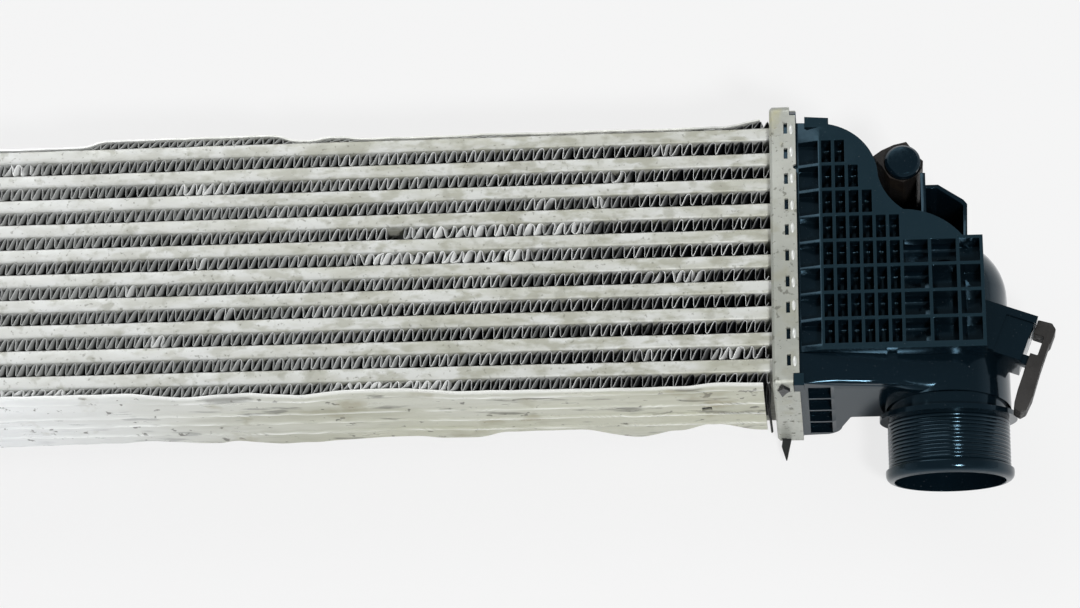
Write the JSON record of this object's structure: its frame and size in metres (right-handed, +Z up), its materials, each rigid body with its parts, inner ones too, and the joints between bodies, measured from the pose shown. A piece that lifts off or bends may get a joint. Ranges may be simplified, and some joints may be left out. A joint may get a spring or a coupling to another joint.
{
  "type": "intercooler",
  "caption": "Flat bar-shaped charge air cooler with corrugated fins between tubes, crimped trays and ribbed plastic end tanks with hose spigots.",
  "frame": {"origin": "under the middle of the whole part, on the surface it lies on", "axes": "+X along the tubes towards the tank with the mounting peg, +Y across the tubes away from the hose spigots, +Z up through the core's depth"},
  "size_m": [0.8792, 0.2002, 0.084],
  "materials": {
    "tube_alloy": "dull, stained",
    "fin_alloy": "bent and dusty",
    "plate_alloy": "scuffed",
    "tray_alloy": "satin",
    "gasket_rubber": "dull",
    "tank_plastic": "moulded, slightly glossy",
    "bush_rubber": "torn",
    "isolator_rubber": "worn grey"
  },
  "bodies": {
    "root": {"tube_01": "tube_alloy", "turbulator_01": "fin_alloy", "tube_02": "tube_alloy", "turbulator_02": "fin_alloy", "tube_03": "tube_alloy", "turbulator_03": "fin_alloy", "tube_04": "tube_alloy", "turbulator_04": "fin_alloy", "tube_05": "tube_alloy", "turbulator_05": "fin_alloy", "tube_06": "tube_alloy", "turbulator_06": "fin_alloy", "tube_07": "tube_alloy", "turbulator_07": "fin_alloy", "tube_08": "tube_alloy", "turbulator_08": "fin_alloy", "tube_09": "tube_alloy", "turbulator_09": "fin_alloy", "tube_10": "tube_alloy", "turbulator_10": "fin_alloy", "air_fin_01": "fin_alloy", "air_fin_02": "fin_alloy", "air_fin_03": "fin_alloy", "air_fin_04": "fin_alloy", "air_fin_05": "fin_alloy", "air_fin_06": "fin_alloy", "air_fin_07": "fin_alloy", "air_fin_08": "fin_alloy", "air_fin_09": "fin_alloy", "air_fin_10": "fin_alloy", "air_fin_11": "fin_alloy", "near_side_plate": "plate_alloy", "far_side_plate": "plate_alloy", "right_header": "tray_alloy", "left_header": "tray_alloy", "right_gasket": "gasket_rubber", "left_gasket": "gasket_rubber", "right_tank": "tank_plastic", "left_tank": "tank_plastic", "peg_bush": "bush_rubber", "lug_isolator": "isolator_rubber"}
  },
  "joints": []
}
